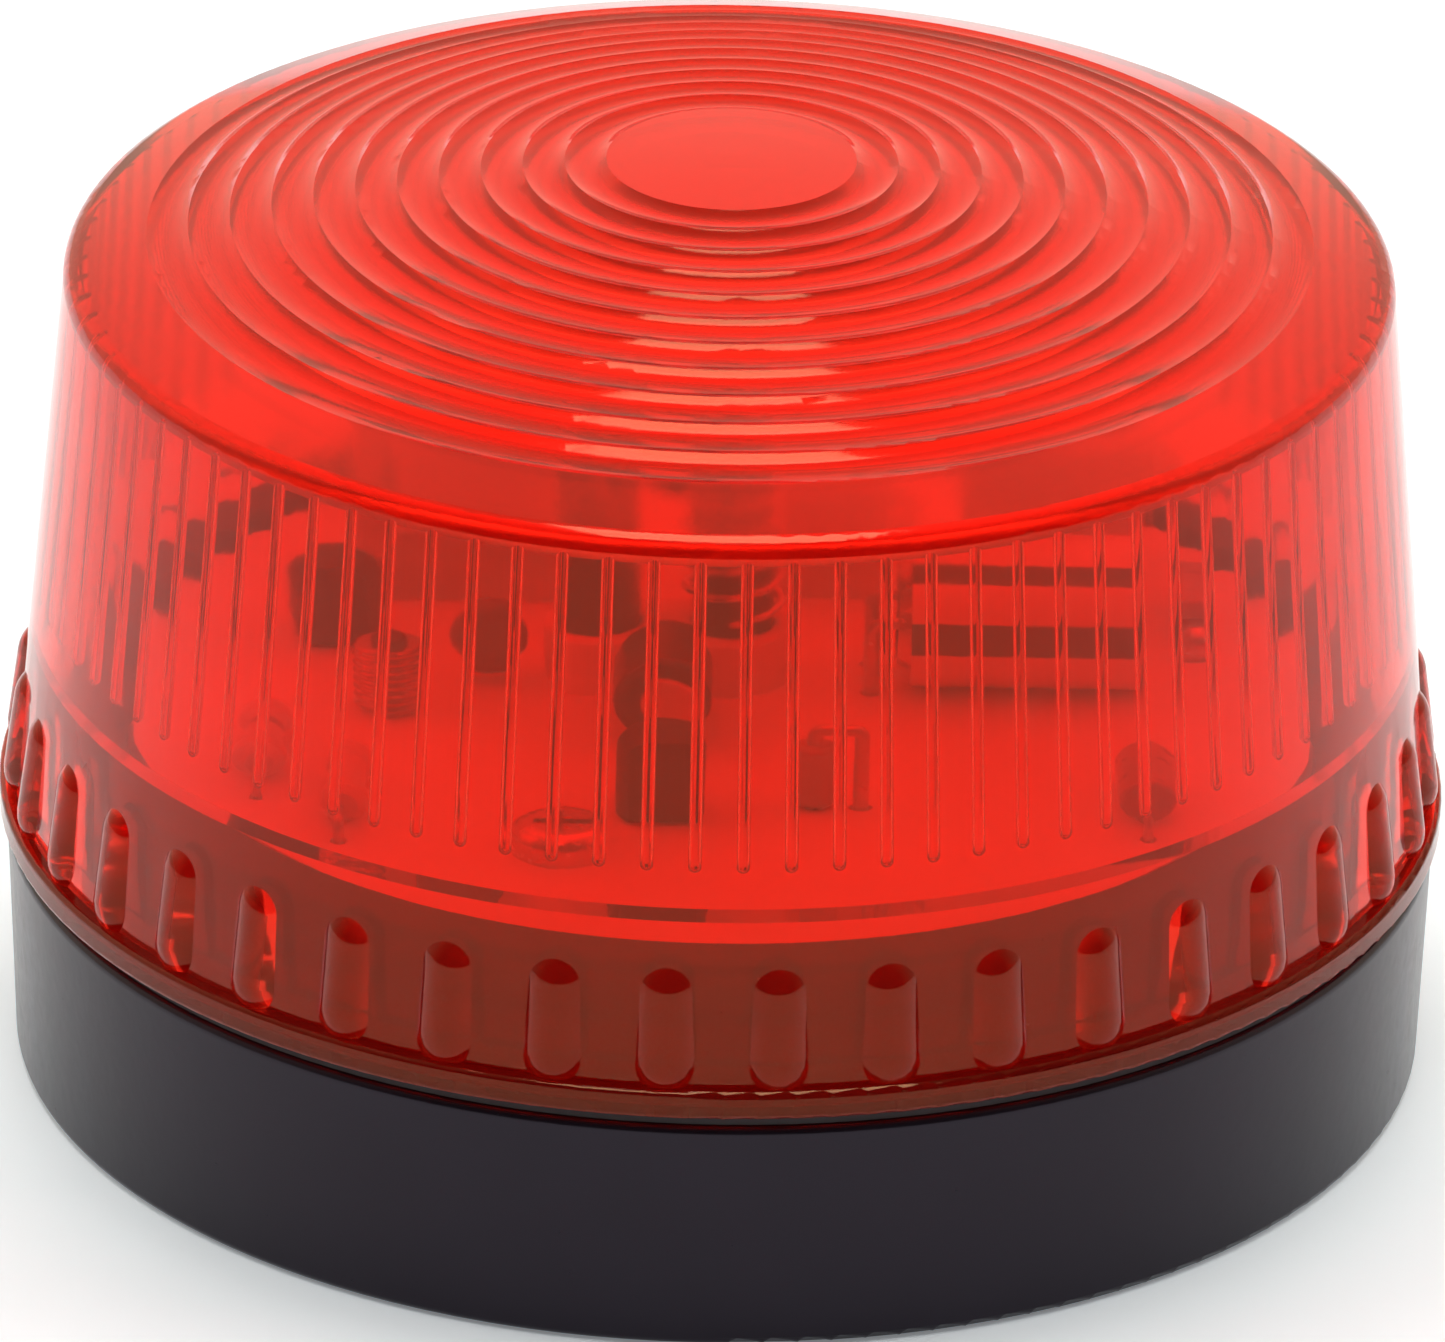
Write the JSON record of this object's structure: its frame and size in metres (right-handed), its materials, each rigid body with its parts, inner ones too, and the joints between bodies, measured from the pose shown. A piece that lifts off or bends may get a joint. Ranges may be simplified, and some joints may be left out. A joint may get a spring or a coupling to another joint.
{
  "type": "strobe alarm light",
  "caption": "Low round alarm strobe: a ribbed red lens that screws onto a round black base holding a flash tube and its circuit.",
  "frame": {"origin": "centre of the base's underside, the face that goes against the mounting surface", "axes": "+Z out of the mounting surface through the lens; -Y is the front; +X is to the right seen from the front"},
  "size_m": [0.075, 0.075, 0.0496],
  "materials": {
    "base_plastic": "satin moulded",
    "black_rubber": "matte",
    "red_lens": "clear tinted, polished",
    "board_laminate": "white solder mask",
    "plated_steel": "bright plated",
    "tube_glass": "clear",
    "tinned_metal": "tinned",
    "dark_plastic": "moulded",
    "device_plastic": "moulded epoxy",
    "bare_aluminium": "drawn",
    "sleeve_plastic": "shrunk sleeve",
    "dipped_coating": "dipped",
    "ferrite": "ground",
    "copper_wire": "enamelled",
    "film_box": "moulded box",
    "resistor_coating": "lacquered",
    "winding_tape": "polyester tape",
    "terminal_plastic": "moulded"
  },
  "bodies": {
    "base": {"base_housing": "base_plastic", "cable_grommet": "black_rubber", "circuit_board": "board_laminate", "board_screws": "plated_steel", "flash_tube": "tube_glass", "tube_electrodes": "tinned_metal", "tube_holder": "dark_plastic", "trigger_wire": "tinned_metal", "trigger_coil": "dark_plastic", "trigger_core": "plated_steel", "thyristor": "device_plastic", "transistor": "device_plastic", "capacitor_can": "bare_aluminium", "capacitor_sleeve": "sleeve_plastic", "capacitor_bung": "black_rubber", "disc_capacitor": "dipped_coating", "choke_core": "ferrite", "choke_winding": "copper_wire", "film_capacitor": "film_box", "resistors": "resistor_coating", "upright_resistor": "resistor_coating", "rectifier_diodes": "device_plastic", "transformer_core": "ferrite", "transformer_bobbin": "dark_plastic", "transformer_winding": "winding_tape", "terminal_block": "terminal_plastic", "terminal_screws": "plated_steel", "component_leads": "tinned_metal"},
    "seal": {"lens_seal": "black_rubber"},
    "lens": {"lens_cover": "red_lens"}
  },
  "joints": [
    {"name": "lens_turn", "type": "hinge", "parent": "base", "child": "seal", "pos_m": [0, 0, 0.0126], "axis": [0, 0, 1], "range_deg": [0, 1080]},
    {"name": "lens_lift", "type": "slide", "parent": "seal", "child": "lens", "axis": [0, 0, 1], "range_m": [0, 0.0066]}
  ],
  "couplings": [
    {"joint": "lens_lift", "follows": "lens_turn", "m_per_rad": 0.00035014}
  ]
}
